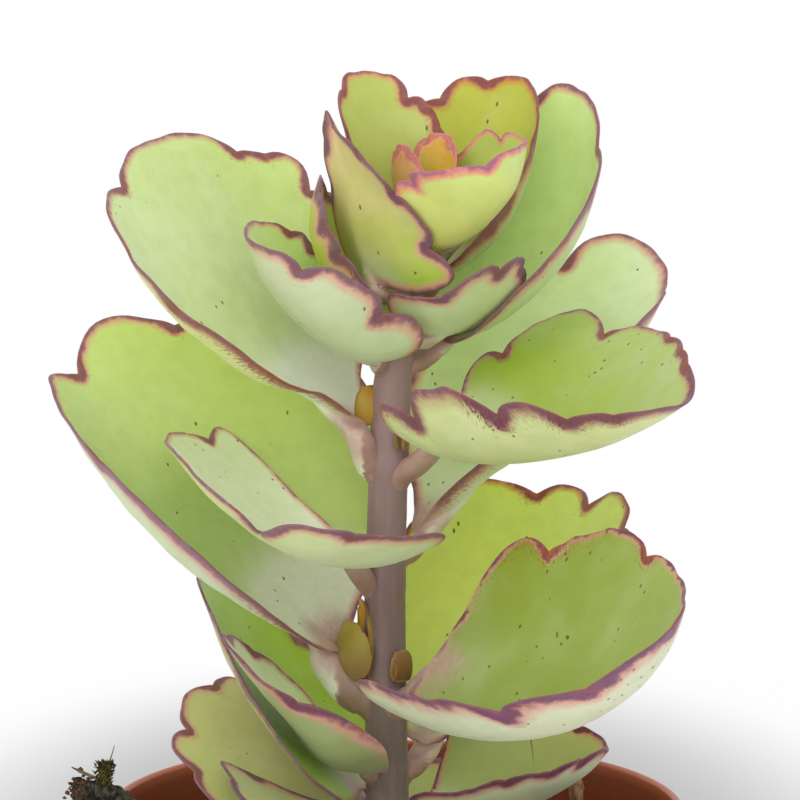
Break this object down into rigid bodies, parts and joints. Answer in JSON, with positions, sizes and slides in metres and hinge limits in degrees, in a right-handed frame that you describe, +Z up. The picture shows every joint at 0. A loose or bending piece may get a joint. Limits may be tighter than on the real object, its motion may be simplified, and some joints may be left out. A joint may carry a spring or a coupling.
{
  "type": "potted kalanchoe laxiflora",
  "caption": "Young leafy succulent with scalloped mauve-edged leaves on one upright stem, in a round plastic nursery pot with a banded rim.",
  "frame": {"origin": "centre of the pot's base, on the ground", "axes": "+Z up along the stem, -Y towards the viewer of the picture, +X to the viewer's right"},
  "size_m": [0.0984, 0.0975, 0.1949],
  "materials": {
    "pot_plastic": "moulded terracotta-coloured polypropylene, satin",
    "potting_soil": "dark crumbly potting soil, dull",
    "stem_skin": "waxy mauve-grey succulent stem, satin",
    "leaf_skin": "pale green succulent leaf with a dull waxy bloom and mauve margin",
    "tip_skin": "young orange and pink leaf skin, satin",
    "bud_skin": "young orange-brown shoot skin, satin",
    "twig_bark": "dark weathered bark, dull",
    "moss": "dry olive moss, dull",
    "dry_wood": "dry tan stalk, dull"
  },
  "bodies": {
    "root": {"pot": "pot_plastic", "soil": "potting_soil", "stem": "stem_skin", "leaf_1_back_left": "leaf_skin", "leaf_1_front_right": "leaf_skin", "leaf_2_front_left": "leaf_skin", "leaf_2_back_right": "leaf_skin", "leaf_3_back_left": "leaf_skin", "leaf_3_front_right": "leaf_skin", "leaf_4_front_left": "leaf_skin", "leaf_4_back_right": "leaf_skin", "leaf_5_back_left": "leaf_skin", "leaf_5_front_right": "leaf_skin", "leaf_6_front_left": "leaf_skin", "leaf_6_back_right": "leaf_skin", "leaf_7_back_left": "leaf_skin", "leaf_7_front_right": "leaf_skin", "leaf_8_front_left": "leaf_skin", "leaf_8_back_right": "leaf_skin", "leaf_9_back_left": "leaf_skin", "leaf_9_front_right": "leaf_skin", "leaf_10_front_left": "leaf_skin", "leaf_10_back_right": "leaf_skin", "leaf_11_back_left": "leaf_skin", "leaf_11_front_right": "leaf_skin", "growing_tip": "tip_skin", "bud_5_back_left": "bud_skin", "bud_5_front_right": "bud_skin", "bud_7_back_left": "bud_skin", "bud_7_front_right": "bud_skin", "twig": "twig_bark", "twig_moss": "moss", "dry_stub": "dry_wood"}
  },
  "joints": []
}
